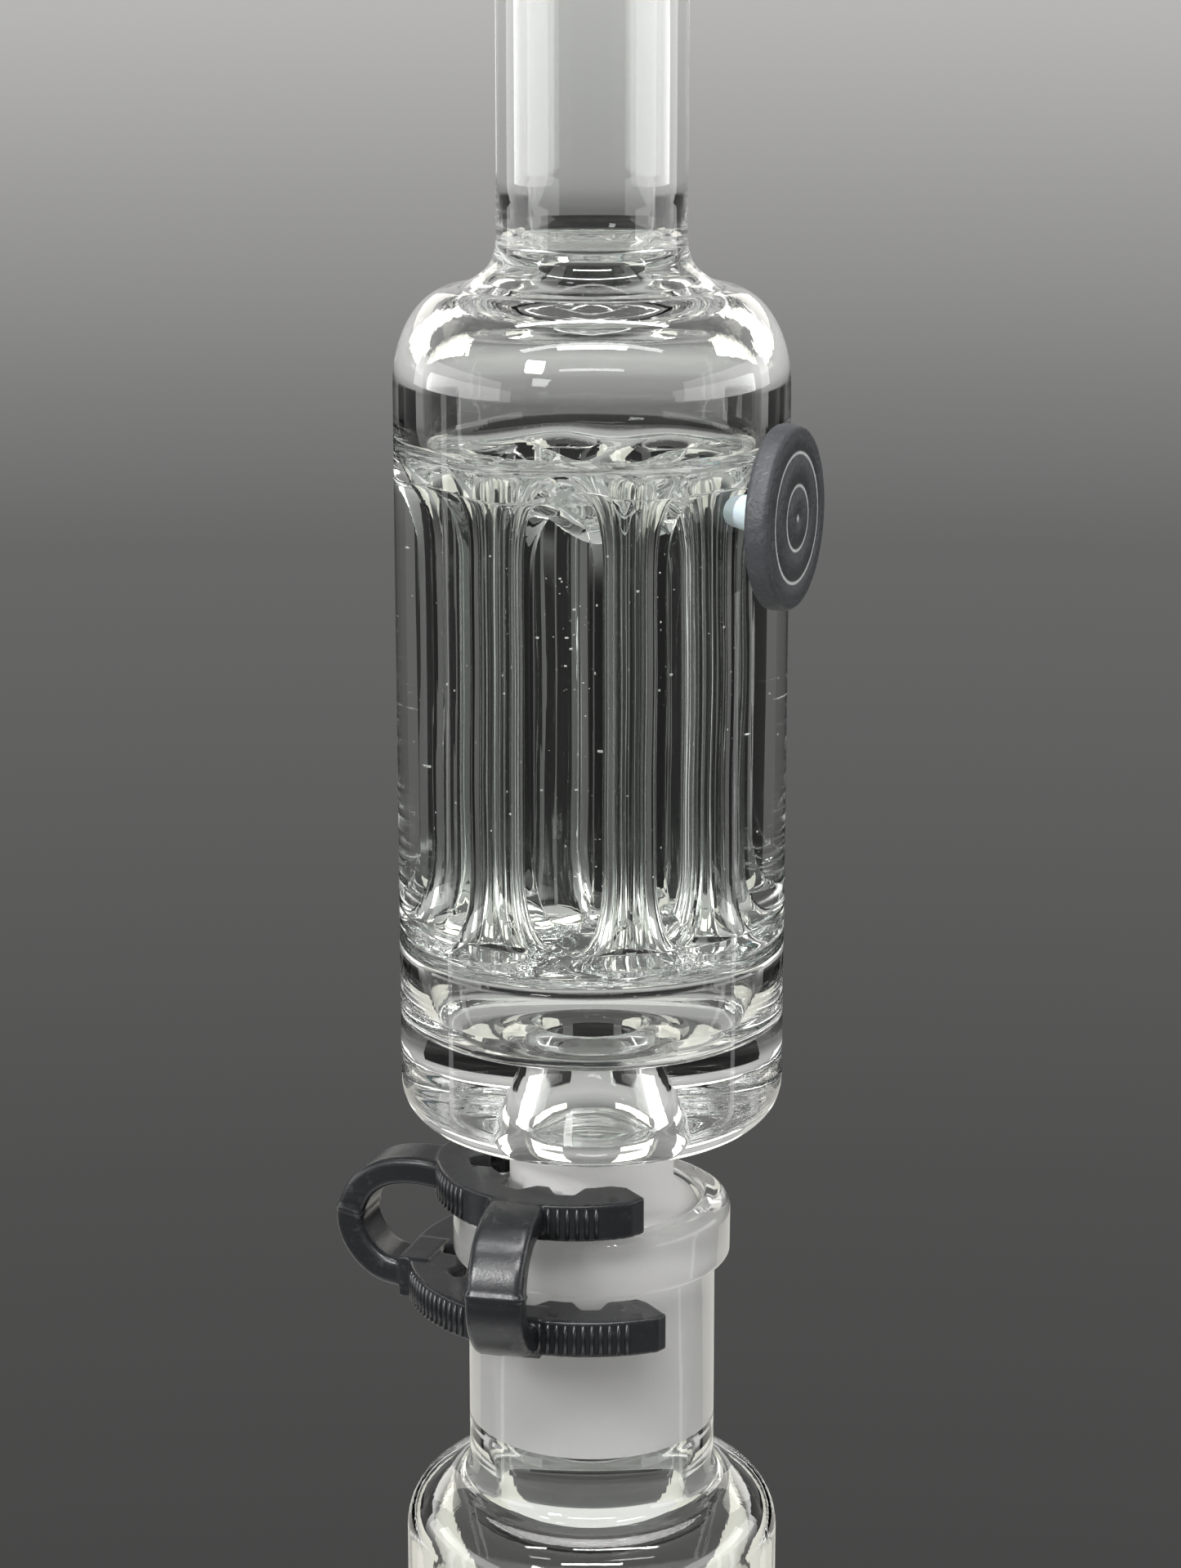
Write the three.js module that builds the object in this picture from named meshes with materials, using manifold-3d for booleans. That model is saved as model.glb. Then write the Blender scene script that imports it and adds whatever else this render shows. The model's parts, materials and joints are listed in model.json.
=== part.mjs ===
// A clip-jointed condenser column: a sealed, coolant-filled jacket with a ring of condensing tubes, standing
// with its ground-glass cone in the socket of a footed receiver, and held there by a plastic joint clip.
// Millimetres, +Z up. The origin is the centre of the receiver's flat foot, and the front faces -Y.
import * as THREE from "three";
import { mergeVertices } from "three/addons/utils/BufferGeometryUtils.js";
import Module from "manifold-3d";

const wasm = await Module();
wasm.setup();

// ---------------------------------------------------------------- driving dimensions
const GAP = 0.3; // between pieces that are fused or pressed together on the real object
const BODY_R = 26; // outside of the jacket and of the receiver, drawn from the same tubing
const WALL = 4;
const INNER_R = BODY_R - WALL;

// Receiver
const FOOT_R = 44;
const FOOT_EDGE = 6; // thickness at the rim, which is fully rounded
const FOOT_H = 8;
const SHOULDER_Z = 82; // where the receiver's straight wall ends
const SHOULDER_ROUND = 8;
const SHOULDER_TOP = SHOULDER_Z + SHOULDER_ROUND;

// Ground joint 29/32: 29.2 mm across at the wide end, tapering 1 in 10
const SOCKET_R = 17.1;
const SOCKET_TOP = 131.5;
const SOCKET_GROUND = 33.5;
const SOCKET_END_BORE = 13.6;
const COLLAR_R = 19.15;
const COLLAR_BOTTOM = 122.9;
const CONE_WIDE_R = 14.6;
const CONE_WIDE_Z = 130;
const CONE_LENGTH = 32;
const TAPER = 0.05; // radius lost per millimetre of length
const JOINT_CLEARANCE = 0.15;
const JOINT_NECK_R = 11.3;
const CONE_TOP = CONE_WIDE_Z + 1.4; // where the cone ends and the plain neck that carries it begins
const JOINT_SEGMENTS = 56; // fine enough for the cone to turn in the socket

// Condenser
const BODY_BOTTOM = 142.4;
const BASE_ROUND = 6.5;
const FLOOR_Z = 155.6;
const OUTLET_TOP_R = 6.4;
const OUTLET_BOTTOM_R = 8.8;
const LOWER_SHEET_Z = 168.6; // underside of the lower tube sheet
const UPPER_SHEET_Z = 233.8; // top of the upper tube sheet
const SHEET_T = 3;
const DOME_Z = 243; // where the jacket's straight wall ends
const SHELL_TOP = 261.2;
const NECK_R = 12.4;
const NECK_BORE = 10.2;
const THROAT_R = 8;
const MOUTH_Z = 342;
const LIP_R = 13.6;
const LIP_H = 4.5;

// Condensing tubes
const TUBE_RING_R = 12;
const TUBE_R = 4;
const TUBE_BORE = 2.8;
const FLARE_R = 4.9; // outside of a tube's flared end
const FLARE_H = 6;
const TUBE_DEGREES = [20, 74, 132, 195, 250, 305]; // from the front, towards +X: set by hand, so unevenly

// Filling plug and its cap disc
const PORT_DEG = 48; // from the front, towards +X
const PORT_Z = 229;
const PORT_R = 2.6;
const PLUG_R = 2.3;
const PLUG_OUT = 30.9; // where the plug's axis meets the disc's back
const DISC_R = 11.75;
const DISC_T = 3;
const DISC_YAW_DEG = 20; // the disc is set at this angle to the plug

// Joint clip
const CLIP_BACK_DEG = 60; // the closed side, from the front, towards -X
const STRAP_SPREAD_DEG = 30; // where each strap leaves the jaws, from the clip's back
const STRAP_SPLAY_DEG = 18; // each strap's plane, turned out from there
const JAW_T = 5;
const NOTCH_DEPTH = 2.6;
const NOTCH_WIDTH = 3.4;
const UPPER_JAW = { bottom: 131.8, inner: 12.1, outer: 19.1, shift: 2.4, tip: 0, notches: [126, 157] };
const LOWER_JAW = { bottom: 117.3, inner: 17.5, outer: 24.8, shift: 0.6, tip: -1.8, notches: [119, 145, 171] };
const STRAP_REACH = 35.3; // outermost point, from the column's axis
const STRAP_T = 3.8;
const STRAP_W = 7.6;

// ---------------------------------------------------------------- materials
const glass = new THREE.MeshStandardMaterial({ color: 0xdfe8e6, roughness: 0.05, metalness: 0 });
const groundGlass = new THREE.MeshStandardMaterial({ color: 0xd9d7d4, roughness: 0.6, metalness: 0 });
const coolantFill = new THREE.MeshStandardMaterial({ color: 0xe6ecea, roughness: 0.05, metalness: 0 });
const blackPlastic = new THREE.MeshStandardMaterial({ color: 0x1b1c1e, roughness: 0.45, metalness: 0 });
const paleSilicone = new THREE.MeshStandardMaterial({ color: 0xb9d3db, roughness: 0.4, metalness: 0 });
const blackStone = new THREE.MeshStandardMaterial({ color: 0x34373b, roughness: 0.55, metalness: 0 });

// ---------------------------------------------------------------- helpers
const rad = THREE.MathUtils.degToRad;
const point = (r, z) => new THREE.Vector2(r, z);

// Points of an elliptical arc in the (radius, height) plane, from one angle to another, in degrees.
function arc(r, z, radiusR, radiusZ, from, to, steps) {
  return Array.from({ length: steps + 1 }, (_, i) => {
    const a = rad(from + ((to - from) * i) / steps);
    return point(r + radiusR * Math.cos(a), z + radiusZ * Math.sin(a));
  });
}

// A solid of revolution about Z. The profile runs anticlockwise in (radius, height); one off the axis is closed.
function turned(profile, segments = 40) {
  const onAxis = profile[0].x === 0;
  const points = onAxis ? profile : [...profile, profile[0].clone()];
  return new THREE.LatheGeometry(points, segments).rotateX(Math.PI / 2);
}

// An outline in the (x, y) plane, as a plate from one height to another.
function plate(outline, bottom, thickness) {
  const shape = new THREE.Shape(outline);
  const geometry = new THREE.ExtrudeGeometry(shape, { depth: thickness, bevelEnabled: false });
  return geometry.translate(0, 0, bottom);
}

// three.js geometry to a manifold-3d solid, and back.
function solid(geometry) {
  const bare = geometry.clone().deleteAttribute("normal").deleteAttribute("uv");
  const merged = mergeVertices(bare, 1e-4);
  const vertProperties = new Float32Array(merged.attributes.position.array);
  const triVerts = new Uint32Array(merged.index.array);
  return new wasm.Manifold(new wasm.Mesh({ numProp: 3, vertProperties, triVerts }));
}

function geometryOf(manifold) {
  const mesh = manifold.getMesh();
  const geometry = new THREE.BufferGeometry();
  geometry.setAttribute("position", new THREE.BufferAttribute(mesh.vertProperties, 3));
  geometry.setIndex(new THREE.BufferAttribute(mesh.triVerts, 1));
  return geometry;
}

const cut = (body, ...tools) => geometryOf(tools.reduce((left, tool) => left.subtract(solid(tool)), solid(body)));

const column = new THREE.Group();

function add(name, geometry, material) {
  const mesh = new THREE.Mesh(geometry, material);
  mesh.name = name;
  column.add(mesh);
  return mesh;
}

// ---------------------------------------------------------------- receiver
function receiverFoot() {
  const round = FOOT_EDGE / 2;
  return turned([
    point(0, 0),
    ...arc(FOOT_R - round, round, round, round, -90, 90, 6),
    point(BODY_R + 3, FOOT_EDGE + 0.4),
    point(BODY_R + 0.8, FOOT_EDGE + 1.1),
    point(BODY_R, FOOT_H),
    point(0, FOOT_H),
  ]);
}

function receiverWall() {
  return turned([
    point(INNER_R, FOOT_H + GAP),
    point(BODY_R, FOOT_H + GAP),
    point(BODY_R, SHOULDER_Z - GAP),
    point(INNER_R, SHOULDER_Z - GAP),
  ]);
}

function receiverShoulder() {
  const innerRound = SHOULDER_ROUND - WALL;
  const hole = SOCKET_R + GAP;
  return turned([
    point(INNER_R, SHOULDER_Z),
    ...arc(BODY_R - SHOULDER_ROUND, SHOULDER_Z, SHOULDER_ROUND, SHOULDER_ROUND, 0, 90, 8),
    point(hole, SHOULDER_TOP),
    point(hole, SHOULDER_TOP - WALL),
    ...arc(INNER_R - innerRound, SHOULDER_Z, innerRound, innerRound, 90, 10, 4),
  ]);
}

function groundSocket() {
  const mouth = CONE_WIDE_R + JOINT_CLEARANCE + TAPER * (SOCKET_TOP - CONE_WIDE_Z);
  const groundEnd = SOCKET_TOP - SOCKET_GROUND;
  return turned([
    point(SOCKET_END_BORE, SHOULDER_TOP - WALL),
    point(SOCKET_R, SHOULDER_TOP - WALL),
    point(SOCKET_R, COLLAR_BOTTOM - 0.4),
    point(COLLAR_R - 0.8, COLLAR_BOTTOM),
    ...arc(COLLAR_R - 1.2, COLLAR_BOTTOM + 1.4, 1.2, 1.4, -45, 0, 2),
    ...arc(COLLAR_R - 2, SOCKET_TOP - 2, 2, 2, 0, 90, 4),
    point(mouth, SOCKET_TOP),
    point(mouth - TAPER * SOCKET_GROUND, groundEnd),
    point(SOCKET_END_BORE, groundEnd - 1.5),
  ], JOINT_SEGMENTS);
}

// ---------------------------------------------------------------- condenser
function groundCone() {
  const narrow = CONE_WIDE_R - TAPER * CONE_LENGTH;
  const narrowZ = CONE_WIDE_Z - CONE_LENGTH;
  return turned([
    point(narrow - 2.4, narrowZ),
    point(narrow - 0.4, narrowZ),
    point(narrow, narrowZ + 0.4),
    point(CONE_WIDE_R, CONE_WIDE_Z),
    point(JOINT_NECK_R + 1.2, CONE_WIDE_Z + 1),
    point(JOINT_NECK_R, CONE_TOP),
    point(OUTLET_BOTTOM_R, CONE_TOP),
    point(CONE_WIDE_R - 3, CONE_WIDE_Z - 3),
  ], JOINT_SEGMENTS);
}

function jointNeck() {
  return turned([
    point(OUTLET_BOTTOM_R, CONE_TOP + GAP),
    point(JOINT_NECK_R, CONE_TOP + GAP),
    point(JOINT_NECK_R, BODY_BOTTOM - GAP),
    point(OUTLET_BOTTOM_R, BODY_BOTTOM - GAP),
  ], JOINT_SEGMENTS);
}

function jacketBase() {
  return turned([
    point(OUTLET_BOTTOM_R, BODY_BOTTOM),
    ...arc(BODY_R - BASE_ROUND, BODY_BOTTOM + BASE_ROUND, BASE_ROUND, BASE_ROUND, -90, 0, 6),
    point(BODY_R, FLOOR_Z),
    ...arc(OUTLET_TOP_R + 2, FLOOR_Z - 2, 2, 2, 90, 180, 3),
  ]);
}

function jacketShell() {
  const shell = turned([
    point(INNER_R, FLOOR_Z + GAP),
    point(BODY_R, FLOOR_Z + GAP),
    ...arc(17.5, DOME_Z, BODY_R - 17.5, 13, 0, 90, 8),
    ...arc(NECK_R + 3, SHELL_TOP, 3, 3.2, 270, 180, 4),
    point(NECK_BORE, SHELL_TOP),
    ...arc(THROAT_R + 2.2, SHELL_TOP - 4, 2.2, 2.6, 180, 250, 3),
    ...arc(14.5, DOME_Z, INNER_R - 14.5, 9, 90, 0, 6),
  ]);
  const port = new THREE.CylinderGeometry(PORT_R, PORT_R, 3 * WALL, 20);
  port.translate(0, -(INNER_R + WALL / 2), 0).rotateZ(rad(PORT_DEG)).translate(0, 0, PORT_Z);
  return cut(shell, port);
}

function neckTube() {
  return turned([
    point(NECK_BORE, SHELL_TOP + GAP),
    point(NECK_R, SHELL_TOP + GAP),
    point(NECK_R, MOUTH_Z - LIP_H),
    ...arc(LIP_R - 1.2, MOUTH_Z - LIP_H / 2, 1.2, LIP_H / 2, -60, 60, 4),
    point(LIP_R - 1.2, MOUTH_Z),
    point(NECK_BORE + 0.4, MOUTH_Z),
    point(NECK_BORE, MOUTH_Z - 0.6),
  ]);
}

// One condensing tube's profile, with both ends flared. grown adds to its outside; solid leaves out the bore.
function tubeProfile(grown, isSolid) {
  const bottom = LOWER_SHEET_Z;
  const top = UPPER_SHEET_Z;
  const r = TUBE_R + grown;
  const flare = FLARE_R + grown;
  const outside = [
    point(flare, bottom),
    point(flare - 0.5, bottom + FLARE_H / 3),
    point(r, bottom + FLARE_H),
    point(r, top - FLARE_H),
    point(flare - 0.5, top - FLARE_H / 3),
    point(flare, top),
  ];
  if (isSolid) return [point(0, bottom), ...outside, point(0, top)];
  const wide = FLARE_R - 0.7;
  return [
    point(wide, bottom),
    ...outside,
    point(wide, top),
    point(TUBE_BORE, top - FLARE_H),
    point(TUBE_BORE, bottom + FLARE_H),
  ];
}

const tubePlaces = TUBE_DEGREES.map(rad).map((a) => [TUBE_RING_R * Math.sin(a), -TUBE_RING_R * Math.cos(a)]);
const tubeHoles = () => tubePlaces.map(([x, y]) => turned(tubeProfile(GAP, true), 20).translate(x, y, 0));

function disc(bottom, thickness) {
  const r = INNER_R - GAP;
  return turned([point(0, bottom), point(r, bottom), point(r, bottom + thickness), point(0, bottom + thickness)]);
}

function condensingTube([x, y]) {
  return turned(tubeProfile(0, false), 20).translate(x, y, 0);
}

function coolant() {
  const bottom = LOWER_SHEET_Z + SHEET_T + GAP;
  return cut(disc(bottom, UPPER_SHEET_Z - SHEET_T - GAP - bottom), ...tubeHoles());
}

// ---------------------------------------------------------------- filling plug and cap disc
// Both are turned about their own axis and then laid along the port's direction, outwards from the column.
function alongPort(geometry) {
  return geometry.rotateX(Math.PI / 2).rotateZ(rad(PORT_DEG)).translate(0, 0, PORT_Z);
}

// Sets a geometry whose axis is Z, with the disc's back at height 0, where the disc sits on the plug.
function ontoPlug(geometry) {
  return alongPort(geometry.rotateY(rad(DISC_YAW_DEG)).translate(0, 0, PLUG_OUT));
}

function capDisc() {
  const edge = 0.7;
  return ontoPlug(
    turned(
      [
        point(0, 0),
        point(DISC_R - edge, 0),
        point(DISC_R, edge),
        point(DISC_R, DISC_T - edge),
        point(DISC_R - edge, DISC_T - 0.25),
        point(0, DISC_T),
      ],
      36,
    ),
  );
}

function fillPlug() {
  const inner = INNER_R + GAP;
  const shank = turned(
    [
      point(0, inner),
      point(PLUG_R - 0.4, inner),
      point(PLUG_R, BODY_R),
      point(PLUG_R + 0.5, BODY_R + 0.9),
      point(PLUG_R + 0.2, PLUG_OUT + 2),
      point(0, PLUG_OUT + 2),
    ],
    24,
  );
  const beyondDisc = turned([point(0, -GAP), point(9, -GAP), point(9, 6), point(0, 6)], 12);
  return cut(alongPort(shank), ontoPlug(beyondDisc));
}

// ---------------------------------------------------------------- joint clip
// A jaw's outline, open towards +X: a half ring whose arms end at tip, with notches in each arm's inner edge.
// Angles are in degrees from the open side, so the closed side is at 180.
function jawOutline({ inner, outer, tip, notches }) {
  const turn = (r, degrees) => point(r * Math.cos(rad(degrees)), r * Math.sin(rad(degrees)));
  const outside = Array.from({ length: 33 }, (_, i) => turn(outer, 100 + 5 * i));
  const half = THREE.MathUtils.radToDeg(NOTCH_WIDTH / 2 / inner);
  const flank = half * 0.4;
  const both = [...notches, ...notches.map((middle) => 360 - middle).reverse()];
  const inside = [turn(inner, 98)];
  both.forEach((middle, i) => {
    const start = middle - half;
    const end = middle + half;
    inside.push(turn(inner, start - flank), turn(inner + NOTCH_DEPTH, start + flank));
    inside.push(turn(inner + NOTCH_DEPTH, end - flank), turn(inner, end + flank));
    const next = i + 1 < both.length ? both[i + 1] - half - flank : 262;
    inside.push(turn(inner, (end + flank + next) / 2));
  });
  inside.push(turn(inner, 262));
  const chamfer = 1.6;
  return [
    point(tip, inner + chamfer),
    point(tip, outer - 0.6),
    ...outside,
    point(tip, -outer + 0.6),
    point(tip, -inner - chamfer),
    ...inside.reverse(),
  ];
}

// Turns a geometry whose closed side faces -X so that it faces the clip's back.
function toClip(geometry, shift = 0) {
  return geometry.translate(-shift, 0, 0).rotateZ(rad(90 - CLIP_BACK_DEG));
}

function clipJaw(jaw) {
  return toClip(plate(jawOutline(jaw), jaw.bottom, JAW_T), jaw.shift);
}

// A strap is a bow from the upper jaw's edge, out and down, and back to the lower jaw's edge.
function clipStrap(sign) {
  const topZ = UPPER_JAW.bottom + JAW_T - 0.5;
  const bottomZ = LOWER_JAW.bottom + 0.3;
  const middleZ = (topZ + bottomZ) / 2;
  const round = (topZ - bottomZ) / 2;
  const bend = -STRAP_REACH + round;
  const rootX = -UPPER_JAW.outer + 3;
  const lowerRootX = -LOWER_JAW.outer + 3;
  const outline = [
    point(rootX, topZ),
    ...arc(bend, middleZ, round, round, 90, 270, 14),
    point(lowerRootX, bottomZ),
    point(lowerRootX, bottomZ + STRAP_T),
    ...arc(bend, middleZ, round - STRAP_T, round - STRAP_T, 270, 90, 14),
    point(rootX, topZ - STRAP_T),
  ];
  const band = new THREE.ExtrudeGeometry(new THREE.Shape(outline), { depth: STRAP_W, bevelEnabled: false });
  band.translate(UPPER_JAW.outer, 0, -STRAP_W / 2).rotateX(Math.PI / 2).rotateZ(rad(sign * STRAP_SPLAY_DEG));
  band.translate(-UPPER_JAW.outer, 0, 0).rotateZ(rad(sign * STRAP_SPREAD_DEG));
  const clear = ({ bottom, outer, shift }) => {
    const rim = new THREE.CylinderGeometry(outer + GAP, outer + GAP, JAW_T + 2, 72);
    return rim.rotateX(Math.PI / 2).translate(-shift, 0, bottom + JAW_T / 2);
  };
  return toClip(cut(band, clear(UPPER_JAW), clear(LOWER_JAW)));
}

// ---------------------------------------------------------------- assembly
add("receiver_foot", receiverFoot(), glass);
add("receiver_wall", receiverWall(), glass);
add("receiver_shoulder", receiverShoulder(), glass);
add("ground_socket", groundSocket(), groundGlass);

add("ground_cone", groundCone(), groundGlass);
add("joint_neck", jointNeck(), glass);
add("jacket_base", jacketBase(), glass);
add("jacket_shell", jacketShell(), glass);
add("neck_tube", neckTube(), glass);
add("upper_tube_sheet", cut(disc(UPPER_SHEET_Z - SHEET_T, SHEET_T), ...tubeHoles()), glass);
add("lower_tube_sheet", cut(disc(LOWER_SHEET_Z, SHEET_T), ...tubeHoles()), glass);
tubePlaces.forEach((place, i) => add(`condensing_tube_${i + 1}`, condensingTube(place), glass));
add("coolant_fill", coolant(), coolantFill);

add("fill_plug", fillPlug(), paleSilicone);
add("cap_disc", capDisc(), blackStone);

add("clip_upper_jaw", clipJaw(UPPER_JAW), blackPlastic);
add("clip_lower_jaw", clipJaw(LOWER_JAW), blackPlastic);
add("clip_front_strap", clipStrap(1), blackPlastic);
add("clip_rear_strap", clipStrap(-1), blackPlastic);

export default column;
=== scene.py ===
"""A clip-jointed glass condenser column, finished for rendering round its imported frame. Metres, +Z up."""

import json
import math

import bmesh
import bpy
from mathutils import Matrix, Vector, geometry, noise


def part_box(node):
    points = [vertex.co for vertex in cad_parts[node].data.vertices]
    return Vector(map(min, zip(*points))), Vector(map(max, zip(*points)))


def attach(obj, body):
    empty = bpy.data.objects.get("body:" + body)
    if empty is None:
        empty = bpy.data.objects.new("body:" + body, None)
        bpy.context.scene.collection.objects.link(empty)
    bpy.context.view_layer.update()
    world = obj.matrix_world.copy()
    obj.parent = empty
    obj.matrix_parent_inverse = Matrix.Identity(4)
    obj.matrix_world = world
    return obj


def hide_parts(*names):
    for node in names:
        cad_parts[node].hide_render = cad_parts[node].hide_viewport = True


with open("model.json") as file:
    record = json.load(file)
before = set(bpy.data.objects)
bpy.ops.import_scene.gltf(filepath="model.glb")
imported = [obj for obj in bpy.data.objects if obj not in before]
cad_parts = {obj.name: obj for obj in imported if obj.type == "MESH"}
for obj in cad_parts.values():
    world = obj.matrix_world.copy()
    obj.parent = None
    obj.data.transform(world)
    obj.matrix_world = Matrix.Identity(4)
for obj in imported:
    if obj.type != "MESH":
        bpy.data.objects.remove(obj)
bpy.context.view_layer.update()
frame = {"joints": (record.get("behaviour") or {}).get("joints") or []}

MM = 0.001


# ------------------------------------------------------------------ sizes
def bottom(node):
    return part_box(node)[0].z


def top(node):
    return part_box(node)[1].z


def outside(node):
    """The outer radius of a body of revolution about the column's axis."""
    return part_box(node)[1].y


def joint_axis(name):
    return Vector(next(j["axis"] for j in frame["joints"] if j["name"] == name)).normalized()


WALL = 4 * MM
BODY_R = outside("jacket_shell")
INNER_R = BODY_R - WALL
NECK_R = 12.4 * MM
NECK_BORE = 10.2 * MM
THROAT_R = 8 * MM
CONE_R = outside("ground_cone")
CONE_NECK_R = outside("joint_neck")
SOCKET_R = 17.1 * MM
TAPER = 0.05
UPPER_SHEET_Z = top("upper_tube_sheet")
LOWER_SHEET_Z = bottom("lower_tube_sheet")
SHEET_T = UPPER_SHEET_Z - bottom("upper_tube_sheet")
FLOOR_Z = top("jacket_base")
TUBE_NODES = [f"condensing_tube_{i}" for i in range(1, 7)]
TUBE_BORE = 2.8 * MM
TUBE_WALL_R = 4 * MM
WALL_OF_TUBE = TUBE_WALL_R - TUBE_BORE
FUNNEL_R = 6.8 * MM  # where a tube's flared end meets the sheet
FUNNEL_DEPTH = 12 * MM
TUBE_SWAY = 0.35 * MM  # how far a tube's middle wanders from a straight line
AIR_FILLET = 2.6 * MM  # where a tube sheet's outer face meets the jacket's wall
LIQUID_FILLET = 2 * MM
UPPER_RELIEF = {"dish": 7.5 * MM, "relief": 3.2 * MM}  # a sunk middle, and the height of the waves round it
LOWER_RELIEF = {"dish": 2.0 * MM, "relief": 1.0 * MM}
DISH_SPREAD = 6 * MM
WAVE_SIZE = 11 * MM
HAND_AMOUNT = 0.06 * MM  # how far a hand-drawn wall wanders, and over what length
HAND_SIZE = 14 * MM
TURNS = 160  # sides of the large bodies of revolution
TUBE_SIDES = 96


def tube_centres():
    middles = [(low + high) / 2 for low, high in map(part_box, TUBE_NODES)]
    return [Vector((m.x, m.y)) for m in middles]


TUBES = tube_centres()


# ------------------------------------------------------------------ curves and meshes
def arc(r, z, radius_r, radius_z, start, end, steps):
    """Points of an elliptical arc in the (radius, height) plane, angles in degrees."""
    angles = [math.radians(start + (end - start) * i / steps) for i in range(steps + 1)]
    return [(r + radius_r * math.cos(a), z + radius_z * math.sin(a)) for a in angles]


def smooth_line(points, steps=6):
    """A Catmull-Rom curve through points, steps pieces between each two."""
    ends = [points[0], *points, points[-1]]
    found = []
    for p0, p1, p2, p3 in zip(ends, ends[1:], ends[2:], ends[3:]):
        for i in range(steps):
            t = i / steps
            weights = (
                -t + 2 * t * t - t**3,
                2 - 5 * t * t + 3 * t**3,
                t + 4 * t * t - 3 * t**3,
                -t * t + t**3,
            )
            found.append(tuple(sum(w * p[k] for w, p in zip(weights, (p0, p1, p2, p3))) / 2 for k in (0, 1)))
    return [*found, tuple(points[-1])]


def polar(r, turn, z):
    return Vector((r * math.cos(turn), r * math.sin(turn), z))


class Shape:
    """Collects faces in a bmesh, welds them where they meet, and makes the finished piece."""

    def __init__(self):
        self.mesh = bmesh.new()

    def faces(self, points, faces, slot=0):
        made = [self.mesh.verts.new(p) for p in points]
        for face in faces:
            self.mesh.faces.new([made[i] for i in face]).material_index = slot

    def strip(self, rings, slot=0):
        """Joins rings of points of one length, each to the next. A slot can be a list, one for each gap."""
        slots = slot if isinstance(slot, list) else [slot] * (len(rings) - 1)
        made = [[self.mesh.verts.new(p) for p in ring] for ring in rings]
        for lower, upper, material in zip(made, made[1:], slots):
            for i, corner in enumerate(lower):
                j = (i + 1) % len(lower)
                self.mesh.faces.new([corner, lower[j], upper[j], upper[i]]).material_index = material

    def turned(self, profile, sides=TURNS, slot=0, place=None):
        """A surface of revolution. A profile point on the axis closes the surface there."""
        rings = []
        for r, z in profile:
            radius = max(r, 1e-7)
            ring = [polar(radius, math.tau * i / sides, z) for i in range(sides)]
            rings.append([place @ p for p in ring] if place else ring)
        self.strip(rings, slot)

    def piece(self, name, materials, body, replaced=(), weld=2e-6, smooth=True):
        bmesh.ops.remove_doubles(self.mesh, verts=self.mesh.verts, dist=weld)
        bmesh.ops.dissolve_degenerate(self.mesh, dist=1e-7, edges=self.mesh.edges)
        bmesh.ops.recalc_face_normals(self.mesh, faces=self.mesh.faces)
        data = bpy.data.meshes.new(name)
        self.mesh.to_mesh(data)
        self.mesh.free()
        return finished(data, name, materials, body, replaced, smooth)


def finished(data, name, materials, body, replaced=(), smooth=True):
    for material in materials:
        data.materials.append(material)
    for polygon in data.polygons:
        polygon.use_smooth = smooth
    made = bpy.data.objects.new(name, data)
    bpy.context.scene.collection.objects.link(made)
    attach(made, body)
    if replaced:
        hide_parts(*replaced)
    return made


def wander(point):
    """A smooth sideways push, well under 1 long. It is the same on every run."""
    return Vector((noise.noise(point), noise.noise(point + Vector((31.7, 5.3, 11.9))), 0))


def hand_drawn(point):
    """Moves a point a little, as glass drawn by hand wanders."""
    return point + wander(point / HAND_SIZE) * HAND_AMOUNT


# ------------------------------------------------------------------ node expressions
class Field:
    """A value in a node tree, with Python's operators as Math nodes."""

    def __init__(self, nodes, socket):
        self.nodes = nodes
        self.socket = socket

    def _math(self, operation, *values):
        return self.nodes.node("ShaderNodeMath", {"operation": operation}, dict(enumerate(values)))[0]

    def __add__(self, other):
        return self._math("ADD", self, other)

    def __mul__(self, other):
        return self._math("MULTIPLY", self, other)

    def __sub__(self, other):
        return self._math("SUBTRACT", self, other)

    def __rsub__(self, other):
        return self._math("SUBTRACT", other, self)

    __radd__ = __add__
    __rmul__ = __mul__

    def power(self, exponent):
        return self._math("POWER", self, exponent)

    def larger(self, other):
        return self._math("MAXIMUM", self, other)

    def root(self):
        return self._math("SQRT", self)

    def sine(self):
        return self._math("SINE", self)

    def cosine(self):
        return self._math("COSINE", self)

    def smoothed(self, low, high):
        """0 below low, 1 above high, with a soft step between them."""
        settings = {"interpolation_type": "SMOOTHSTEP"}
        return self.nodes.node("ShaderNodeMapRange", settings, {0: self, 1: low, 2: high, 3: 0, 4: 1})[0]

    def near(self, value, width):
        """1 at value, fading to 0 at width from it."""
        return 1 - self._math("ABSOLUTE", self - value).smoothed(0, width)


class Nodes:
    """A node tree, and the means to write it as expressions."""

    def __init__(self, tree):
        self.tree = tree

    def node(self, kind, settings=None, sockets=None):
        """Adds a node. Its settings come first, then its sockets' values or links. Returns its outputs."""
        made = self.tree.nodes.new(kind)
        for setting, value in (settings or {}).items():
            if setting == "stops":
                self._set_stops(made.color_ramp, value)
            else:
                setattr(made, setting, value)
        for key, value in (sockets or {}).items():
            self.feed(made.inputs[key], value)
        return [Field(self, output) for output in made.outputs]

    @staticmethod
    def _set_stops(ramp, stops):
        while len(ramp.elements) < len(stops):
            ramp.elements.new(1)
        for element, (place, colour) in zip(ramp.elements, stops):
            element.position = place
            element.color = (*colour, 1)

    def feed(self, socket, value):
        if isinstance(value, Field):
            self.tree.links.new(value.socket, socket)
        else:
            socket.default_value = value

    def split(self, vector):
        return self.node("ShaderNodeSeparateXYZ", None, {0: vector})


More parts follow.
